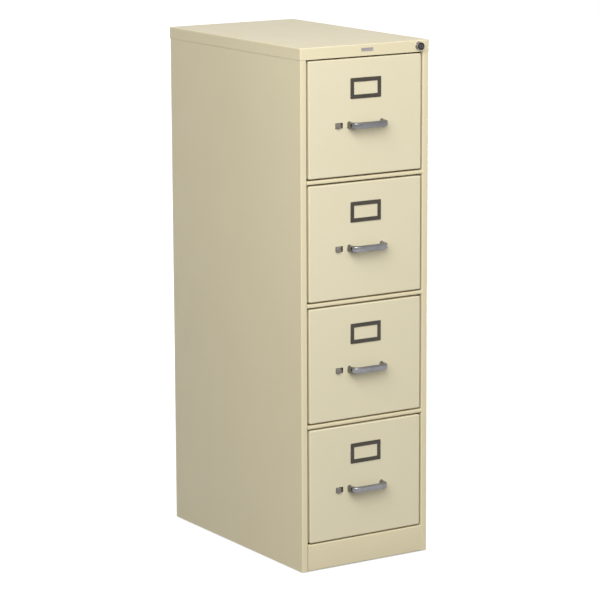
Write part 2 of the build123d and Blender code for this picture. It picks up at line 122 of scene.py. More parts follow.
# The pull. Its feet, whose rows are given by their distance from the front, are a little fuller.
PULL_THICKNESS = 10.0
PULL_HEIGHT = 16.5
PULL_ROUND = 4.2
PULL_BEND = 13.0
PULL_BEND_STEPS = 14
FOOT_ROWS = (0, 0.5, 1.2, 2.4, 4.0)
FOOT_FULLER = 0.16
FOOT_FADE = 1.6

# The lock: its button, whose two collars are placed from its end, the dark ring on its face, whose darkness
# is a painted dark reflection, and the plug.
BUTTON_RADIUS = 9.4
BUTTON_BORE = 6.05
BUTTON_LENGTH = 31.0
BUTTON_SHOULDER = 0.9
NECK_RADIUS = 3.0
COLLAR_RADIUS = 5.5
FIRST_COLLAR = (9.6, 7.6)
END_COLLAR = 2.0
FACE_RING = 2.0
RING_GAP = 0.02
RING_STEPS = 5
BORE_BEVEL = 0.35
PLUG_RADIUS = 6.0
PLUG_LENGTH = 16.0
PLUG_BEVEL = 0.4
KEYWAY_HALF = 0.8
KEYWAY_RISE = 3.5
KEYWAY_DEPTH = 9.0
KEYWAY_CORNER = 0.3
KEYWAY_BEVEL = 0.35

# The label frame.
LABEL_BAR = 10.0
LABEL_CORNER = 2.0
LABEL_LIP = 4.0
LABEL_LIP_PLAY = 0.5
LABEL_POCKET = 0.8
LABEL_EDGE = 0.7
LABEL_EDGE_STEPS = 3
LABEL_CROWN = 0.25
LABEL_CROWN_POINTS = 9

# The name plate, whose rim and sunken field are given by pairs of inset and depth.
PLATE_CORNER = 1.0
PLATE_FACE = ((0, 0.3), (0.1, 0.08), (0.3, 0), (0.8, 0), (0.95, 0.1), (1.1, 0.25))

# The studio's surround and floor, in metres. The floor's glow is given by pairs of distance and brightness,
# where the distance is counted in the cabinet's half width and about its front's distance from the middle.
SURROUND_LEVEL = 0.39
FLOOR_RADIUS = 14.0
FLOOR_DROP = 0.0003
FLOOR_COLOUR = (0.14, 0.14, 0.137, 1)
FLOOR_SEEN = 0.45
FOOTPRINT_HALF = (0.19, 0.306)
GLOW_REACH = 10
FLOOR_GLOW = ((0.92, 0.0), (0.98, 0.72), (GLOW_REACH, 1.0))

# The photograph's camera, in metres and degrees, with its lens and sensor in millimetres.
CAMERA_PLACE = (-3.8591, -6.0797, 2.0663)
CAMERA_YAW = -32.39
CAMERA_PITCH = 11.283
CAMERA_ROLL = -0.236
CAMERA_LENS = 170.11
CAMERA_SENSOR = 36.0
CAMERA_REACH = 60.0


def corners(node):
    """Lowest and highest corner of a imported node, in millimetres."""
    low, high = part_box(node)
    return np.array(low) / MM, np.array(high) / MM


# Surfaces. A shell is an array of points and a list of face arrays.


def ring(low, high, radius, near=(), left=()):
    """A rounded rectangle, counter-clockwise from its near side: each corner is a quarter circle
    centre + radius (cos a, sin a), and near and left are further places along those two sides."""
    quarter = np.linspace(0, math.pi / 2, CORNER_STEPS + 1)
    centres = [
        (high[0] - radius, low[1] + radius),
        (high[0] - radius, high[1] - radius),
        (low[0] + radius, high[1] - radius),
        (low[0] + radius, low[1] + radius),
    ]
    arcs = []
    for turn, centre in enumerate(centres):
        angle = quarter + (turn - 1) * math.pi / 2
        arcs.append(np.stack([np.cos(angle), np.sin(angle)], axis=1) * radius + centre)
    side_near = np.array([(x, low[1]) for x in near]).reshape(-1, 2)
    side_left = np.array([(low[0], y) for y in reversed(left)]).reshape(-1, 2)
    return np.concatenate([side_near, arcs[0], arcs[1], arcs[2], side_left, arcs[3]])


def inset_ring(low, high, radius, inset, near=(), left=()):
    """The same rounded rectangle drawn in by an inset, its corners losing as much radius."""
    return ring(
        (low[0] + inset, low[1] + inset),
        (high[0] - inset, high[1] - inset),
        max(radius - inset, SMALLEST_CORNER),
        near,
        left,
    )


def pressed_edge(radius):
    """Pairs of inset and depth round the quarter circle of a pressed edge, from its face to its flange."""
    quarter = np.linspace(0, math.pi / 2, CORNER_STEPS + 1)
    return [(radius * (1 - math.sin(a)), radius * (1 - math.cos(a))) for a in quarter]


def upright_row(outline, y):
    """An outline of points (x, z) stood up at a depth y."""
    return np.stack([outline[:, 0], np.full(len(outline), y), outline[:, 1]], axis=1)


def level_row(outline, z):
    """An outline of points (x, y) laid at a height z."""
    return np.stack([outline[:, 0], outline[:, 1], np.full(len(outline), z)], axis=1)


def cells(rows, columns, close_rows=False):
    """The quads of a grid of points whose columns close into a loop, as an array (row, column, corner); its
    rows may close too."""
    index = np.arange(rows * columns).reshape(rows, columns)
    if close_rows:
        index = np.concatenate([index, index[:1]])
    index = np.concatenate([index, index[:, :1]], axis=1)
    return np.stack([index[:-1, :-1], index[:-1, 1:], index[1:, 1:], index[1:, :-1]], axis=-1)


def patch_edge(count):
    """The row and the column of each grid point round a square patch of cells."""
    span = np.arange(count)
    near = np.zeros(count, int)
    far = np.full(count, count)
    back = span[::-1] + 1
    return np.concatenate([near, span, far, back]), np.concatenate([span, far, back, near])


def lofted(rows, caps=True, loop=False):
    """Rows of points joined into one skin: the surface between rows is ruled. Flat faces close its ends
    where it has caps, or the last row joins the first where it is a loop."""
    grid = np.stack(rows)
    count, around = grid.shape[:2]
    faces = [cells(count, around, close_rows=loop).reshape(-1, 4)]
    if caps and not loop:
        faces.append(np.arange(around)[::-1][None, :])
        faces.append(np.arange((count - 1) * around, count * around)[None, :])
    return grid.reshape(-1, 3), faces


def turned(profile, centre_x, centre_z):
    """A profile of points (radius, y) turned about a line along y: (r cos a, y, r sin a)."""
    angle = np.linspace(0, 2 * math.pi, TURN_STEPS, endpoint=False)
    profile = np.array(profile, float)
    radius = profile[:, :1]
    x = centre_x + radius * np.cos(angle)
    z = centre_z + radius * np.sin(angle)
    y = np.repeat(profile[:, 1:], TURN_STEPS, axis=1)
    return list(np.stack([x, y, z], axis=2))


def soft_block(low, high, radius):
    """A block with rounded edges: a sphere of that radius, its eight octants pulled apart by the block's
    half sizes less the radius."""
    low, high = np.array(low, float), np.array(high, float)
    half = (high - low) / 2 - radius
    count = BLOCK_STEPS + 1
    quarter = np.linspace(0, math.pi / 2, count)
    turn = np.concatenate([quarter + k * math.pi / 2 for k in range(4)])
    side_x = np.repeat([1, -1, -1, 1], count)
    side_y = np.repeat([1, 1, -1, -1], count)
    rise = np.concatenate([quarter - math.pi / 2, quarter])
    side_z = np.repeat([-1, 1], count)
    x = side_x * half[0] + radius * np.outer(np.cos(rise), np.cos(turn))
    y = side_y * half[1] + radius * np.outer(np.cos(rise), np.sin(turn))
    z = np.repeat((side_z * half[2] + radius * np.sin(rise))[:, None], len(turn), axis=1)
    return lofted(list(np.stack([x, y, z], axis=2) + (low + high) / 2))


def folded_line(points, radius, steps=FOLD_STEPS):
    """The middle line of a folded sheet with its left-hand normals: each corner is an arc
    centre - s r n(a), where n turns from the normal of one run to that of the next and s is the side."""
    points = np.array(points, float)
    runs = np.diff(points, axis=0)
    runs /= np.linalg.norm(runs, axis=1)[:, None]
    places, normals = [points[:1]], [[(-runs[0][1], runs[0][0])]]
    for corner, before, after in zip(points[1:-1], runs[:-1], runs[1:]):
        turn = math.atan2(before[0] * after[1] - before[1] * after[0], before @ after)
        side = math.copysign(1, turn)
        first = np.array([-before[1], before[0]])
        start = corner - before * radius * math.tan(abs(turn) / 2)
        angle = np.linspace(0, turn, steps + 1)
        normal = np.stack(
            [
                first[0] * np.cos(angle) - first[1] * np.sin(angle),
                first[0] * np.sin(angle) + first[1] * np.cos(angle),
            ],
            axis=1,
        )
        places.append(start + side * radius * first - side * radius * normal)
        normals.append(normal)
    places.append(points[-1:])
    normals.append([(-runs[-1][1], runs[-1][0])])
    return np.concatenate(places), np.concatenate(normals)


def folded_sheet(points, thickness, stations, axes):
    """A folded sheet: its middle line, moved half its thickness each way along the normals, carried past the
    stations; axes are the places of the line's two coordinates and of the stations."""
    middle, normal = folded_line(points, FOLD_RADIUS)
    outline = np.concatenate([middle + normal * thickness / 2, (middle - normal * thickness / 2)[::-1]])
    rows = []
    for station in stations:
        row = np.empty((len(outline), 3))
        row[:, axes[0]] = outline[:, 0]
        row[:, axes[1]] = outline[:, 1]
        row[:, axes[2]] = station
        rows.append(row)
    count = len(middle)
    skin, faces = lofted(rows, caps=False)
    along = np.arange(count - 1)
    back = 2 * count - 1 - along
    end = np.stack([along, along + 1, back - 1, back], axis=1)
    faces += [end[:, ::-1], end + (len(stations) - 1) * 2 * count]
    return skin, faces


def outward(points, faces):
    """Turns a closed shell's faces round where the volume it holds comes out negative."""
    volume = 0.0
    for face in faces:
        first = points[face[:, :1]]
        volume += np.sum(first * np.cross(points[face[:, 1:-1]], points[face[:, 2:]]))
    return faces if volume > 0 else [face[:, ::-1] for face in faces]


def piece(name, shells, finish, body, nodes=()):
    """One object from closed shells, its poles merged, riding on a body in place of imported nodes."""
    points, faces, start = [], [], 0
    for shell_points, shell_faces in shells:
        for face in outward(shell_points, shell_faces):
            faces += (face + start).tolist()
        points.append(shell_points)
        start += len(shell_points)
    mesh = bpy.data.meshes.new(name)
    mesh.from_pydata((np.concatenate(points) * MM).tolist(), [], faces)
    merge(mesh)
    mesh.shade_smooth()
    mesh.set_sharp_from_angle(angle=math.radians(SHARP_FROM))
    mesh.materials.append(finish)
    thing = bpy.data.objects.new(name, mesh)
    bpy.context.scene.collection.objects.link(thing)
    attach(thing, body)
    if nodes:
        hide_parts(*nodes)


def merge(mesh):
    """Joins points that lie on each other, so that poles and seams close."""
    work = bmesh.new()
    work.from_mesh(mesh)
    bmesh.ops.remove_doubles(work, verts=work.verts, dist=MERGE_DISTANCE * MM)
    work.to_mesh(mesh)
    work.free()


# Finishes.


def srgb(red, green, blue):
    """A colour given in screen values from 0 to 255, as the shader reads it."""
    value = np.array([red, green, blue]) / 255
    linear = np.where(value <= 0.04045, value / 12.92, ((value + 0.055) / 1.055) ** 2.4)
    return (*linear, 1.0)


def new_finish(name):
    """An empty material with its shader."""
    material = bpy.data.materials.new(name)
    material.use_nodes = True
    tree = material.node_tree
    tree.nodes.clear()
    output = tree.nodes.new("ShaderNodeOutputMaterial")
    shader = tree.nodes.new("ShaderNodeBsdfPrincipled")
    tree.links.new(shader.outputs[0], output.inputs[0])
    return material, tree, shader


def add(tree, kind, inputs, **settings):
    """A node with its settings and inputs; an input is a number, a colour or another node's output."""
    node = tree.nodes.new(kind)
    for key, value in settings.items():
        setattr(node, key, value)
    for key, value in inputs.items():
        if isinstance(value, bpy.types.NodeSocket):
            tree.links.new(value, node.inputs[key])
        else:
            node.inputs[key].default_value = value
    return node


def place(tree, stretch=(1, 1, 1)):
    """Where a point lies on the cabinet, in metres, stretched along each axis."""
    spot = add(tree, "ShaderNodeTexCoord", {}).outputs["Object"]
    return add(tree, "ShaderNodeMapping", {"Vector": spot, "Scale": stretch}).outputs[0]


def clouds(tree, scale, stretch=(1, 1, 1), detail=2.0, rough=0.5):
    """Noise of so many spots per metre."""
    inputs = {"Vector": place(tree, stretch), "Scale": scale, "Detail": detail, "Roughness": rough}
    return add(tree, "ShaderNodeTexNoise", inputs).outputs[0]


def spread(tree, value, low, high, start=0.3, end=0.7):
    """A value spread from the span start to end onto the span low to high."""
    inputs = {"Value": value, "From Min": start, "From Max": end, "To Min": low, "To Max": high}
    return add(tree, "ShaderNodeMapRange", inputs).outputs[0]


def tones(tree, value, stops):
    """A colour read from stops (place, colour) by a value."""
    node = add(tree, "ShaderNodeValToRGB", {"Fac": value})
    ramp = node.color_ramp
    while len(ramp.elements) < len(stops):
        ramp.elements.new(0.5)
    for element, (position, colour) in zip(ramp.elements, stops):
        element.position = position
        element.color = colour
    return node.outputs[0]


def shade(colour, factor):
    """A colour made lighter or darker."""
    return (*(min(part * factor, 1) for part in colour[:3]), 1.0)


def mixed(tree, factor, first, second):
    """Two colours mixed by a factor; sockets 6 and 7 of a mix node are its colours."""
    return add(tree, "ShaderNodeMix", {0: factor, 6: first, 7: second}, data_type="RGBA").outputs[2]


def times(tree, first, second):
    """Two values multiplied."""
    return add(tree, "ShaderNodeMath", {0: first, 1: second}, operation="MULTIPLY").outputs[0]


def larger(tree, first, second):
    """The larger of two values."""
    return add(tree, "ShaderNodeMath", {0: first, 1: second}, operation="MAXIMUM").outputs[0]


def bumped(tree, height, distance, strength, under=None):
    """A normal turned by a height, over another normal where there is one."""
    inputs = {"Height": height, "Distance": distance, "Strength": strength}
    if under:
        inputs["Normal"] = under
    return add(tree, "ShaderNodeBump", inputs).outputs[0]


def wire(tree, shader, colour, roughness, normal):
    """Leads a finish's colour, roughness and normal into its shader."""
    for key, value in (("Base Color", colour), ("Roughness", roughness), ("Normal", normal)):
        tree.links.new(value, shader.inputs[key])


def edge_wear_and_highlight(tree, width, scale=90):
    """How near a point lies to an edge, broken up by noise: the normal's turn once edges are rounded. It
    marks worn edges, and on the enamel it is also a painted highlight along the rounded edges.
    """
    rounded = add(tree, "ShaderNodeBevel", {"Radius": width}, samples=4).outputs[0]
    normal = add(tree, "ShaderNodeNewGeometry", {}).outputs["Normal"]
    turn = add(tree, "ShaderNodeVectorMath", {0: rounded, 1: normal}, operation="DOT_PRODUCT")
    edge = spread(tree, turn.outputs["Value"], low=1.0, high=0.0, start=0.75, end=0.99)
    patches = spread(tree, clouds(tree, scale, detail=4), low=0.0, high=1.0, start=0.42, end=0.62)
    return times(tree, edge, patches)


def putty_enamel(name, colour):
    """Baked enamel on steel: slow drifts of tone, fine darker specks, a gloss that varies, long waves with
    orange peel over them, and edges that are a little paler, partly rubbed wear and partly a painted
    highlight along the rounded edges."""
    material, tree, shader = new_finish(name)
    drift = clouds(tree, 2.5, detail=3)
    base = tones(tree, drift, [(0.25, shade(colour, 0.975)), (0.75, shade(colour, 1.02))])
    speck = spread(tree, clouds(tree, 1400, detail=1), low=0.0, high=0.35, start=0.66, end=0.76)
    base = mixed(tree, speck, base, shade(colour, 0.86))
    # Paler edges in patches: partly rubbed wear, partly a painted highlight along the rounded edges.
    paler_edges = times(tree, edge_wear_and_highlight(tree, 1.2 * MM), 0.45)
    base = mixed(tree, paler_edges, base, shade(colour, 1.12))
    smear = spread(tree, clouds(tree, 22, stretch=(1, 1, 0.4), detail=4), low=0.40, high=0.50)
    wave = bumped(tree, clouds(tree, 9, detail=1), distance=0.0006, strength=0.35)
    peel = clouds(tree, 520, detail=1.5, rough=0.4)
    wire(tree, shader, base, smear, bumped(tree, peel, distance=0.00005, strength=0.5, under=wave))
    shader.inputs["Specular IOR Level"].default_value = 0.32
    shader.inputs["Coat Weight"].default_value = 0.06
    shader.inputs["Coat Roughness"].default_value = 0.22
    return material


def plated_metal(name, colour, dark, rough, brush=(1, 1, 1), brush_scale=160, metallic=1.0):
    """Plated metal: cloudy tone, roughness that follows the rolling or polishing marks, and brighter edges.
    Less than fully metallic is a dull lacquered plating."""
    material, tree, shader = new_finish(name)
    base = tones(tree, clouds(tree, 35, detail=5), [(0.3, dark), (0.7, colour)])
    paler_edges = times(tree, edge_wear_and_highlight(tree, 0.5 * MM, scale=300), 0.4)
    base = mixed(tree, paler_edges, base, shade(colour, 1.35))
    marks = clouds(tree, brush_scale, stretch=brush, detail=5, rough=0.6)
    gloss = spread(tree, marks, low=rough - 0.06, high=rough + 0.08)
    wire(tree, shader, base, gloss, bumped(tree, marks, distance=0.00001, strength=0.6))
    shader.inputs["Metallic"].default_value = metallic
    return material


def moulded(name, colour, rough):
    """Moulded plastic: a fine grained skin, a soft gloss and edges rubbed pale."""
    material, tree, shader = new_finish(name)
    base = tones(tree, clouds(tree, 60, detail=4), [(0.3, shade(colour, 0.85)), (0.7, shade(colour, 1.12))])
    paler_edges = times(tree, edge_wear_and_highlight(tree, 0.4 * MM, scale=400), 0.5)
    base = mixed(tree, paler_edges, base, shade(colour, 1.9))
    grain = clouds(tree, 2600, detail=2)
    gloss = spread(tree, grain, low=rough - 0.07, high=rough + 0.07)
    wire(tree, shader, base, gloss, bumped(tree, grain, distance=0.00003, strength=0.5))
    return material


CASE_ENAMEL = putty_enamel("case_enamel", srgb(223, 212, 178))
FRONT_ENAMEL = putty_enamel("drawer_enamel", srgb(223, 214, 184))
ZINC = plated_metal(
    "zinc_sheet", srgb(182, 183, 181), srgb(156, 158, 156), 0.42, brush=(1, 0.05, 1), brush_scale=400
)
SLIDE_ZINC = plated_metal(
    "slide_zinc", srgb(182, 183, 182), srgb(154, 155, 153), 0.34, brush=(1, 0.03, 1), brush_scale=600
)
BALL_STEEL = plated_metal("ball_steel", srgb(214, 214, 213), srgb(190, 190, 188), 0.18)
PLATE_ALUMINIUM = plated_metal(
    "plate_aluminium", srgb(169, 164, 164), srgb(155, 150, 150), 0.44, brush=(0.03, 1, 1), brush_scale=1500,
    metallic=0.4,
)
# The lock's chrome is written darker than bright chrome, as a painted dark reflection.
LOCK_CHROME_PAINTED_DARK = plated_metal("lock_chrome", srgb(164, 162, 162), srgb(142, 140, 140), 0.16)
CORE_STEEL = plated_metal(
    "core_steel", srgb(92, 90, 93), srgb(78, 76, 79), 0.34, brush=(0.2, 1, 1), brush_scale=2000
)
# The ring on the lock button's face is dark as a painted reflection: it stands in for the dark that the
# chrome face mirrors.
FACE_RING_PAINTED_REFLECTION = plated_metal("face_ring_painted_reflection", srgb(58, 53, 54), srgb(44, 40, 41), 0.30, brush_scale=900)
# The pulls' chrome is written darker than bright chrome: its grey is a painted dark reflection, standing in
# for the dark surroundings mirrored in the bars.
PULL_CHROME_PAINTED_DARK = plated_metal(
    "pull_chrome", srgb(134, 134, 136), srgb(114, 114, 116), 0.12, brush=(0.05, 1, 1), brush_scale=1200
)
SCREW_STEEL = plated_metal("screw_steel", srgb(192, 192, 190), srgb(160, 160, 158), 0.36)
LABEL_NICKEL = plated_metal(
    "label_nickel", srgb(69, 64, 55), srgb(56, 52, 45), 0.36, brush=(0.1, 1, 1), brush_scale=900,
    metallic=0.4,
)
THUMB_PLASTIC = moulded("thumb_plastic", srgb(116, 112, 108), 0.40)
# The latch slide's dark colour is painted shade: it darkens the plate seen in the recess behind the latch
# window.
SLIDE_PLASTIC_PAINTED_SHADE = moulded("slide_plastic_painted_shade", srgb(52, 49, 47), 0.45)
GLIDE_NYLON = moulded("glide_nylon", srgb(70, 70, 68), 0.55)

SLOT_FINISHES = {
    "case_paint": CASE_ENAMEL,
    "drawer_paint": FRONT_ENAMEL,
    "inner_zinc": ZINC,
    "glide_nylon": GLIDE_NYLON,
    "slide_zinc": SLIDE_ZINC,
    "ball_steel": BALL_STEEL,
    "plate_aluminium": PLATE_ALUMINIUM,
    "lock_chrome": LOCK_CHROME_PAINTED_DARK,
    "core_steel": CORE_STEEL,
    "pull_chrome": PULL_CHROME_PAINTED_DARK,
    "screw_steel": SCREW_STEEL,
    "label_steel": LABEL_NICKEL,
    "latch_plastic": THUMB_PLASTIC,
    "follower_zinc": ZINC,
}


def dress_packed_nodes():
    """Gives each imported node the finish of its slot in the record."""
    for part in frame["record"]["subparts"]:
        thing = frame["nodes"][part["node"]]
        finish = SLOT_FINISHES[part["material_slot"]]
        thing.data.materials.clear()
        thing.data.materials.append(finish)


# The case.


def lid():
    """The top cap: a rounded rectangle drawn in round a quarter circle at the top edge and carried down the
    skirt, round its hem and up the inside, with a round hole through the front skirt for the lock."""
    low, high = corners("top_cap")
    lock_x, lock_z = lock_axis()
    stops = np.linspace(lock_x - HOLE_PATCH_HALF, lock_x + HOLE_PATCH_HALF, HOLE_CELLS + 1)
    heights = np.linspace(lock_z + HOLE_PATCH_HALF, lock_z - HOLE_PATCH_HALF, HOLE_CELLS + 1)
    ceiling = high[2] - CASE_SHEET

    def row(inset, z):
        return level_row(inset_ring(low[:2], high[:2], PRESS_RADIUS, inset, near=stops), z)

    rows = [row(PRESS_RADIUS + FLAT_INSET, high[2])]
    rows += [row(inset, high[2] - drop) for inset, drop in pressed_edge(PRESS_RADIUS)]
    outer_start = len(rows)
    rows += [row(0, z) for z in heights]
    rows += [row(0, low[2] + HEM), row(HEM, low[2]), row(CASE_SHEET - HEM, low[2])]
    rows += [row(CASE_SHEET, low[2] + HEM)]
    inner_start = len(rows)
    rows += [row(CASE_SHEET, z) for z in heights[::-1]]
    rows += [row(CASE_SHEET, ceiling - LID_CREASE), row(CASE_SHEET + FLAT_INSET, ceiling)]
    around = rows[0].shape[0]
    quads = cells(len(rows), around)
    kept = np.ones(quads.shape[:2], bool)
    for start in (outer_start, inner_start):
        kept[start:start + HOLE_CELLS, :HOLE_CELLS] = False
    top = np.arange(around)[::-1][None, :]
    underside = np.arange((len(rows) - 1) * around, len(rows) * around)[None, :]
    edge_rows, edge_columns = patch_edge(HOLE_CELLS)
    outer_edge = (outer_start + edge_rows) * around + edge_columns
    inner_edge = (inner_start + HOLE_CELLS - edge_rows) * around + edge_columns
    axis = np.array([lock_x, low[1], lock_z])
    points, walls = hole_walls(np.concatenate(rows), outer_edge, inner_edge, axis)
    lip = soft_block(
        (-LID_LIP_HALF, low[1] + CASE_SHEET, low[2]),
        (LID_LIP_HALF, low[1] + LID_LIP_DEPTH, low[2] + CASE_SHEET),
        LID_LIP_ROUND,
    )
    return [(points, [quads[kept], top, underside, *walls]), lip]


def hole_walls(points, outer_edge, inner_edge, axis):
    """The lock's hole in the lid's skirt: a circle on each side of the sheet, joined to each other and to
    the edges of the two patches left out. The circles' points are added at the end."""
    direction = points[outer_edge] - axis
    direction /= np.linalg.norm(direction, axis=1)[:, None]
    loops = [outer_edge]
    for depth in (0, CASE_SHEET):
        mouth = direction * LOCK_HOLE + axis
        mouth[:, 1] = axis[1] + depth
        loops.append(np.arange(len(points), len(points) + len(mouth)))
        points = np.concatenate([points, mouth])
    loops.append(inner_edge)
    walls = [
        np.stack([one, np.roll(one, -1), np.roll(other, -1), other], axis=1)
        for one, other in zip(loops[:-1], loops[1:])
    ]
    return points, walls


def side_sheet(mirror):
    """A side of the case seen from above: post return, front post, side and rear flange, carried up."""
    low, high = corners("side_panel_right")
    half = CASE_SHEET / 2
    line = [
        (OPENING_HALF + half, low[1] + POST_RETURN),
        (OPENING_HALF + half, low[1] + half),
        (high[0] - half, low[1] + half),
        (high[0] - half, high[1] - half),
        (high[0] - REAR_FLANGE, high[1] - half),
    ]
    line = np.array(line) * [mirror, 1]
    stations = [low[2], low[2] + SIDE_ROW, (low[2] + high[2]) / 2, high[2] - SIDE_ROW, high[2]]
    return folded_sheet(line, CASE_SHEET, stations, (0, 1, 2))


def toe_sheet():
    """The plate under the bottom drawer seen from the side, folded back at its top and its foot."""
    low, high = corners("toe_plate")
    half = CASE_SHEET / 2
    line = [
        (high[1], high[2] - half),
        (low[1] + half, high[2] - half),
        (low[1] + half, low[2] + half),
        (high[1], low[2] + half),
    ]
    return folded_sheet(line, CASE_SHEET, [low[0], 0, high[0]], (1, 2, 0))


def rail_sheets():
    """The rails between the drawers seen from the side, each a channel open at its back."""
    low, high = corners("cross_rails")
    half = CASE_SHEET / 2
    sheets = []
    for number in DRAWERS[:-1]:
        foot = corners(f"drawer_{number + 1}_front")[1][2] + RAIL_GAP
        top = corners(f"drawer_{number}_front")[0][2] - RAIL_GAP
        line = [
            (high[1], top - half),
            (low[1] + half, top - half),
            (low[1] + half, foot + half),
            (high[1], foot + half),
        ]
        sheets.append(folded_sheet(line, CASE_SHEET, [low[0], 0, high[0]], (1, 2, 0)))
    return sheets


# The drawers.


def front_pan(number):
    """A drawer front: rounded rectangles carried from the latch window over the face, round the pressed
    edge, back along the flange, round its hem and forward again inside, with a slot for the bolt on the
    left."""
    low, high = corners(f"drawer_{number}_front")
    z = latch_height(number)
    face = low[1]
    slot = (z - SLOT_RISE, z + SLOT_RISE)

    def rim(inset, y):
        outline = inset_ring((low[0], low[2]), (high[0], high[2]), PAN_CORNER, inset, left=slot)
        return upright_row(outline, y)

    def window(growth, y):
        reach, rise = WINDOW_HALF + growth, WINDOW_RISE + growth
        outline = ring(
            (WINDOW_X - reach, z - rise), (WINDOW_X + reach, z + rise), WINDOW_CORNER + growth, left=slot
        )
        return upright_row(outline, y)

    behind = face + FRONT_SHEET
    rows = [window(growth, face + depth) for growth, depth in WINDOW_EDGE]
    rows += [rim(PRESS_RADIUS + FLAT_INSET, face)]
    rows += [rim(inset, face + depth) for inset, depth in pressed_edge(PRESS_RADIUS)]
    outer_slot = len(rows)
    rows += [rim(0, face + SLOT_FRONT), rim(0, face + SLOT_BACK)]
    rows += [rim(0, high[1] - HEM), rim(HEM, high[1]), rim(FRONT_SHEET - HEM, high[1])]
    rows += [rim(FRONT_SHEET, high[1] - HEM)]
    inner_slot = len(rows)
    rows += [rim(FRONT_SHEET, face + SLOT_BACK), rim(FRONT_SHEET, face + SLOT_FRONT)]
    inner_edge = pressed_edge(PRESS_RADIUS - FRONT_SHEET)
    rows += [rim(FRONT_SHEET + inset, behind + depth) for inset, depth in inner_edge[::-1]]
    rows += [rim(PRESS_RADIUS + FLAT_INSET, behind), window(WINDOW_BACK, behind)]
    around = rows[0].shape[0]
    quads = cells(len(rows), around, close_rows=True)
    # The slot lies on the left side, which comes after three corners.
    column = 3 * (CORNER_STEPS + 1)
    kept = np.ones(quads.shape[:2], bool)
    kept[outer_slot, column] = False
    kept[inner_slot, column] = False
    outside = quads[outer_slot, column]
    inside = quads[inner_slot, column][::-1]
    walls = np.stack([outside, np.roll(outside, -1), np.roll(inside, -1), inside], axis=1)
    return np.concatenate(rows), [quads[kept], walls]


def latch_height(number):
    """Height of the middle of a drawer's pull and latch."""
    low, high = corners(f"drawer_{number}_pull")
    return (low[2] + high[2]) / 2


def pull_bar(number):
    """The pull: a rounded rectangle carried along a line that leaves the front, turns, runs across, turns
    and comes back, a little fuller at its feet by an exponential of the squared distance."""
    low, high = corners(f"drawer_{number}_pull")
    z = (low[2] + high[2]) / 2
    feet = (high[0] - low[0] - PULL_THICKNESS) / 2
    out = low[1] + PULL_THICKNESS / 2
    line = [(-feet, high[1]), (-feet, out), (feet, out), (feet, high[1])]
    middle, normal = folded_line(line, PULL_BEND, PULL_BEND_STEPS)
    half = np.array([PULL_THICKNESS / 2, PULL_HEIGHT / 2])
    section = ring(-half, half, PULL_ROUND)
    foot = high[1] - np.array(FOOT_ROWS)
    lead = np.stack([np.full(len(foot), -feet), foot], axis=1)
    middle = np.concatenate([lead, middle[1:-1], (lead * [-1, 1])[::-1]])
    left, right = (np.repeat(end, len(foot), axis=0) for end in (normal[:1], normal[-1:]))
    normal = np.concatenate([left, normal[1:-1], right])
    fuller = 1 + FOOT_FULLER * np.exp(-((high[1] - middle[:, 1]) / FOOT_FADE) ** 2)
    across = normal[:, None, :] * (section[:, 0] * fuller[:, None])[:, :, None]
    plan = middle[:, None, :] + across
    rise = z + section[:, 1] * fuller[:, None]
    return lofted(list(np.concatenate([plan, rise[:, :, None]], axis=2)))


def label_frame(number):
    """The label frame: a flat bar carried round a rounded rectangle, its crown a parabola and its edges
    quarter circles, with a pocket for the card behind it that is open at the top."""
    low, high = corners(f"drawer_{number}_label_holder")
    wall, face = high[1], low[1]
    top = face + LABEL_CROWN
    flat = np.linspace(LABEL_EDGE, LABEL_BAR - LABEL_EDGE, LABEL_CROWN_POINTS)
    crown = LABEL_CROWN * (1 - (2 * (flat - LABEL_BAR / 2) / (LABEL_BAR - 2 * LABEL_EDGE)) ** 2)
    quarter = np.linspace(0, math.pi / 2, LABEL_EDGE_STEPS + 1)[:-1]
    bend = [(LABEL_EDGE * (1 - math.cos(a)), top + LABEL_EDGE * (1 - math.sin(a))) for a in quarter]
    profile = [(0, wall), *bend, *zip(flat, top - crown)]
    profile += [(LABEL_BAR - inset, y) for inset, y in bend[::-1]]
    profile += [(LABEL_BAR, wall - LABEL_POCKET), (LABEL_LIP, wall - LABEL_POCKET), (LABEL_LIP, wall)]
    rows = []
    for inset, y in profile:
        row = upright_row(inset_ring((low[0], low[2]), (high[0], high[2]), LABEL_CORNER, inset), y)
        if y == wall:
            row[row[:, 2] > high[2] - LABEL_LIP - LABEL_LIP_PLAY, 1] = wall - LABEL_POCKET
        rows.append(row)
    return lofted(rows, loop=True)


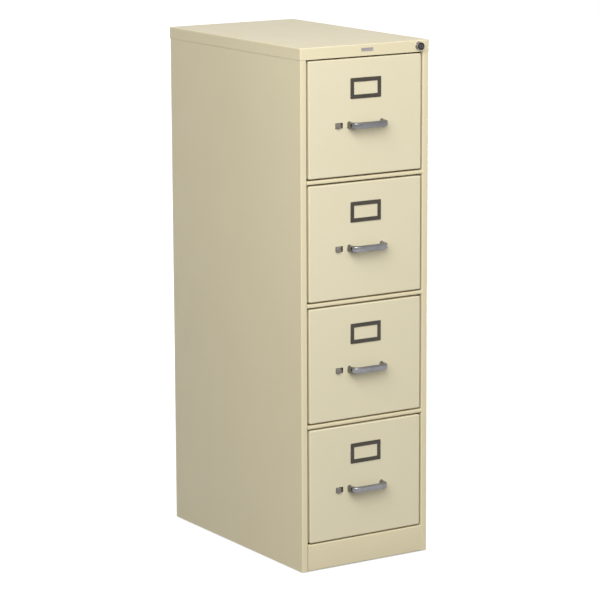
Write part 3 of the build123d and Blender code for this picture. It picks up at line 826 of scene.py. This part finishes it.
def thumb_piece(number):
    """The latch's thumb piece: an outline carried up, its ends rounded by quarter circles and its ridges a
    cosine wave that fades out at both sides."""
    low, high = corners(f"drawer_{number}_latch")
    z = latch_height(number)
    thumb_middle = high[0] - THUMB_WIDTH / 2
    face = corners(f"drawer_{number}_front")[0][1]
    front, back = low[1], face + FRONT_SHEET + LATCH_GAP + LATCH_PLATE / 2
    depth = back - front
    reach = THUMB_WIDTH / 2 - THUMB_ROUND
    along = np.linspace(-1, 1, RIDGE_POINTS)
    wave = 0.5 + 0.5 * np.cos(2 * math.pi * THUMB_RIDGES * along)
    ridge = RIDGE_DEPTH * wave * np.clip((1 - along**2) * RIDGE_FADE, 0, 1)
    ridged = np.stack([along * reach, ridge], axis=1)
    quarter = np.linspace(0, math.pi / 2, THUMB_STEPS + 1)
    sink = THUMB_ROUND * (1 - np.sin(quarter))
    left = np.stack([-reach - THUMB_ROUND * np.cos(quarter), sink], axis=1)[1:]
    sole = np.array([[-THUMB_WIDTH / 2, depth], [-THUMB_WIDTH / 2, THUMB_ROUND]])
    profile = np.concatenate([sole, left, ridged[1:-1], left[::-1] * [-1, 1], sole[::-1] * [-1, 1]])
    draw = THUMB_ROUND * (1 - np.cos(quarter))
    heights = np.concatenate([-THUMB_RISE + draw, THUMB_RISE - draw[::-1]])
    insets = np.concatenate([sink, sink[::-1]])
    rows = []
    for height, inset in zip(heights, insets):
        x = thumb_middle + profile[:, 0] * (1 - inset / (THUMB_WIDTH / 2))
        y = front + np.where(np.isclose(profile[:, 1], depth), depth, profile[:, 1] + inset)
        rows.append(np.stack([x, y, np.full(len(x), z + height)], axis=1))
    return lofted(rows)


def latch_slide(number):
    """What carries the thumb piece behind the front: three blocks with rounded edges, a plate, a step back
    and the bolt. Its dark finish is painted shade for the recess behind the latch window."""
    low, high = corners(f"drawer_{number}_latch")
    z = latch_height(number)
    plate_front = corners(f"drawer_{number}_front")[0][1] + FRONT_SHEET + LATCH_GAP
    plate_back = plate_front + LATCH_PLATE
    step_end = low[0] + BOLT_LENGTH
    step = step_end - LATCH_PLATE
    foot, top = z - BOLT_RISE, z + BOLT_RISE
    return [
        soft_block((step, plate_front, z - LATCH_RISE), (high[0], plate_back, z + LATCH_RISE), LATCH_ROUND),
        soft_block((step, plate_front, foot), (step_end, high[1], top), LATCH_ROUND),
        soft_block((low[0], high[1] - BOLT_DEPTH, foot), (step_end, high[1], top), BOLT_ROUND),
    ]


# The lock and the plate.


def lock_axis():
    """Where the lock's axis crosses the front: its x and its height."""
    low, high = corners("lock_core")
    return (low[0] + high[0]) / 2, (low[2] + high[2]) / 2


def button_shell():
    """The push button: turned, with the plug's bore, a neck and two collars."""
    low, high = corners("lock_plunger")
    face, end = low[1], high[1]
    front, back, bottom = face + FACE_RING + RING_GAP, face + BUTTON_LENGTH, face + PLUG_LENGTH
    profile = [(0, bottom), (BUTTON_BORE, bottom), (BUTTON_BORE, front)]
    profile += [(BUTTON_RADIUS, front), (BUTTON_RADIUS, back), (NECK_RADIUS, back)]
    start, stop = (end - distance for distance in FIRST_COLLAR)
    profile += [(NECK_RADIUS, start), (COLLAR_RADIUS, start), (COLLAR_RADIUS, stop), (NECK_RADIUS, stop)]
    start = end - END_COLLAR
    profile += [(NECK_RADIUS, start), (COLLAR_RADIUS, start), (COLLAR_RADIUS, end), (0, end)]
    return lofted(turned(profile, *lock_axis()), caps=False)


def face_ring_shell():
    """The ring on the button's face: a closed outline with a rounded shoulder, turned about the axis. Its
    dark finish is a painted dark reflection of the button's chrome face.
    """
    face = corners("lock_plunger")[0][1]
    back = face + FACE_RING
    quarter = np.linspace(0, math.pi / 2, RING_STEPS + 1)
    inside = BUTTON_RADIUS - BUTTON_SHOULDER
    radius = inside + BUTTON_SHOULDER * np.sin(quarter)
    depth = face + BUTTON_SHOULDER * (1 - np.cos(quarter))
    profile = [(BUTTON_BORE, back), (BUTTON_BORE, face + BORE_BEVEL), (BUTTON_BORE + BORE_BEVEL, face)]
    profile += [*zip(radius, depth), (BUTTON_RADIUS, back)]
    return lofted(turned(profile, *lock_axis()), loop=True)


def plug_shell():
    """The key plug: a disc whose face runs in to a narrow keyway that goes down into it."""
    low, high = corners("lock_core")
    face, end = low[1], high[1]
    centre = np.array(lock_axis())

    def row(across, up, radius, y):
        return upright_row(ring(centre - [across, up], centre + [across, up], radius), y)

    def disc(radius, y):
        return row(radius, radius, radius, y)

    def keyway(growth, y):
        return row(KEYWAY_HALF + growth, KEYWAY_RISE + growth, KEYWAY_CORNER + growth / 2, y)

    rows = [disc(PLUG_RADIUS, end), disc(PLUG_RADIUS, face + PLUG_BEVEL)]
    rows += [disc(PLUG_RADIUS - PLUG_BEVEL, face)]
    rows += [keyway(KEYWAY_BEVEL, face), keyway(0, face + KEYWAY_BEVEL), keyway(0, face + KEYWAY_DEPTH)]
    return lofted(rows)


def plate_shell():
    """The blank name plate: a rounded rectangle with a raised rim round a sunken field."""
    low, high = corners("name_plate")
    face, wall = low[1], high[1]

    def row(inset, y):
        return upright_row(inset_ring((low[0], low[2]), (high[0], high[2]), PLATE_CORNER, inset), y)

    return lofted([row(0, wall), *(row(inset, face + depth) for inset, depth in PLATE_FACE)])


def build():
    """Makes every new piece."""
    piece("lid", lid(), CASE_ENAMEL, "case", ["top_cap"])
    piece("side_sheet_right", [side_sheet(1)], CASE_ENAMEL, "case", ["side_panel_right"])
    piece("side_sheet_left", [side_sheet(-1)], CASE_ENAMEL, "case", ["side_panel_left"])
    piece("toe_sheet", [toe_sheet()], CASE_ENAMEL, "case", ["toe_plate"])
    piece("rail_sheets", rail_sheets(), CASE_ENAMEL, "case", ["cross_rails"])
    piece("plate_blank", [plate_shell()], PLATE_ALUMINIUM, "case", ["name_plate"])
    piece("lock_button", [button_shell()], LOCK_CHROME_PAINTED_DARK, "lock_plunger", ["lock_plunger"])
    # The dark face ring is a painted dark reflection on the button.
    piece("lock_face", [face_ring_shell()], FACE_RING_PAINTED_REFLECTION, "lock_plunger")
    piece("lock_plug", [plug_shell()], CORE_STEEL, "lock_core", ["lock_core"])
    for number in DRAWERS:
        body = f"drawer_{number}"
        piece(f"front_{number}", [front_pan(number)], FRONT_ENAMEL, body, [f"{body}_front"])
        # The pull's dark grey chrome is a painted dark reflection.
        piece(f"pull_bar_{number}", [pull_bar(number)], PULL_CHROME_PAINTED_DARK, body, [f"{body}_pull"])
        piece(
            f"label_frame_{number}", [label_frame(number)], LABEL_NICKEL, body, [f"{body}_label_holder"],
        )
        latch = f"{body}_latch"
        piece(f"thumb_piece_{number}", [thumb_piece(number)], THUMB_PLASTIC, latch, [latch])
        # The latch slide is finished dark as painted shade behind the latch window.
        piece(f"latch_slide_{number}", latch_slide(number), SLIDE_PLASTIC_PAINTED_SHADE, latch)


# The studio.


def lamp(name, position, target, size, watts):
    """A square soft lamp aimed at a point."""
    light = bpy.data.lights.new(name, "AREA")
    light.shape = "SQUARE"
    light.size = size
    light.energy = watts
    thing = bpy.data.objects.new(name, light)
    thing.matrix_world = aimed(position, target)
    thing.visible_camera = False
    bpy.context.scene.collection.objects.link(thing)


def aimed(position, target):
    """The turn and place of a lamp that looks from a point to another along its own -z."""
    position, target = np.array(position, float), np.array(target, float)
    back = (position - target) / np.linalg.norm(position - target)
    right = np.cross([0, 0, 1], back)
    right /= np.linalg.norm(right)
    up = np.cross(back, right)
    return placed(right, up, back, position)


def placed(right, up, back, position):
    """The matrix of an object with its three axes and its place."""
    turn = np.eye(4)
    turn[:3, :4] = np.stack([right, up, back, position], axis=1)
    return Matrix(turn.tolist())


def seen_or_lit(tree, seen, lit):
    """One shader for what the camera, a mirror or glass sees, and another for light that falls on things."""
    path = add(tree, "ShaderNodeLightPath", {}).outputs
    direct = larger(tree, path["Is Camera Ray"], path["Is Glossy Ray"])
    direct = larger(tree, direct, path["Is Transmission Ray"])
    return add(tree, "ShaderNodeMixShader", {0: direct, 1: lit.outputs[0], 2: seen.outputs[0]}).outputs[0]


def grey(level):
    """A grey of a brightness from 0 to 1."""
    return (level, level, level, 1)


def studio_world(level):
    """A white surround, which lights the cabinet at a lower level than it is seen."""
    world = bpy.data.worlds.new("studio")
    world.use_nodes = True
    tree = world.node_tree
    tree.nodes.clear()
    light = add(tree, "ShaderNodeBackground", {"Color": grey(1), "Strength": level})
    seen = add(tree, "ShaderNodeBackground", {"Color": grey(1), "Strength": 1.0})
    both = seen_or_lit(tree, seen, light)
    output = add(tree, "ShaderNodeOutputWorld", {})
    tree.links.new(both, output.inputs[0])
    bpy.context.scene.world = world


def studio_floor():
    """A pale round floor, seen nearly white, which still takes the cabinet's shadow. Its own glow is none
    under the cabinet, so that the gaps stay dark, weaker close round it for the shadow, and full far off."""
    outline = ring((-FLOOR_RADIUS, -FLOOR_RADIUS), (FLOOR_RADIUS, FLOOR_RADIUS), FLOOR_RADIUS)
    mesh = bpy.data.meshes.new("floor")
    mesh.from_pydata(level_row(outline, -FLOOR_DROP).tolist(), [], [list(range(len(outline)))])
    mesh.materials.append(floor_finish())
    thing = bpy.data.objects.new("floor", mesh)
    bpy.context.scene.collection.objects.link(thing)


def floor_finish():
    """The floor's material: plain grey for the light that it throws back, and a glow where it is seen."""
    material = bpy.data.materials.new("studio_floor")
    material.use_nodes = True
    tree = material.node_tree
    tree.nodes.clear()
    plain = add(tree, "ShaderNodeBsdfDiffuse", {"Color": FLOOR_COLOUR})
    thin = add(tree, "ShaderNodeBsdfDiffuse", {"Color": grey(FLOOR_SEEN)})
    footprint = place(tree, stretch=(1 / FOOTPRINT_HALF[0], 1 / FOOTPRINT_HALF[1], 1))
    across = add(tree, "ShaderNodeVectorMath", {0: footprint}, operation="ABSOLUTE").outputs[0]
    sides = add(tree, "ShaderNodeSeparateXYZ", {"Vector": across}).outputs
    away = times(tree, larger(tree, sides["X"], sides["Y"]), 1 / GLOW_REACH)
    level = tones(tree, away, [(distance / GLOW_REACH, grey(part)) for distance, part in FLOOR_GLOW])
    glow = add(tree, "ShaderNodeEmission", {"Color": level, "Strength": 1.0})
    seen = add(tree, "ShaderNodeAddShader", {0: thin.outputs[0], 1: glow.outputs[0]})
    both = seen_or_lit(tree, seen, plain)
    output = add(tree, "ShaderNodeOutputMaterial", {})
    tree.links.new(both, output.inputs[0])
    return material


def photo_camera():
    """The camera at the photograph's place: yaw, pitch and roll turned into its three axes."""
    yaw, pitch, roll = (math.radians(angle) for angle in (CAMERA_YAW, CAMERA_PITCH, CAMERA_ROLL))
    level = math.cos(pitch)
    forward = np.array([-math.sin(yaw) * level, math.cos(yaw) * level, -math.sin(pitch)])
    right = np.array([math.cos(yaw), math.sin(yaw), 0.0])
    down = np.cross(forward, right)
    across = math.cos(roll) * right - math.sin(roll) * down
    below = math.sin(roll) * right + math.cos(roll) * down
    camera = bpy.data.cameras.new("photo_camera")
    camera.sensor_width = CAMERA_SENSOR
    camera.lens = CAMERA_LENS
    camera.clip_end = CAMERA_REACH
    thing = bpy.data.objects.new("photo_camera", camera)
    thing.matrix_world = placed(across, -below, -forward, CAMERA_PLACE)
    bpy.context.scene.collection.objects.link(thing)
    bpy.context.scene.camera = thing


dress_packed_nodes()
build()
studio_world(SURROUND_LEVEL)
studio_floor()
lamp("key", position=(-2.15, -2.9, 3.1), target=(0, -0.1, 0.8), size=3.2, watts=176)
lamp("front", position=(0.7, -3.8, 2.7), target=(0, -0.3, 0.9), size=2.6, watts=29)
lamp("fill", position=(2.6, 2.3, 0.8), target=(0, 0.1, 0.7), size=1.0, watts=50)
photo_camera()
bpy.context.scene.view_settings.view_transform = "Standard"
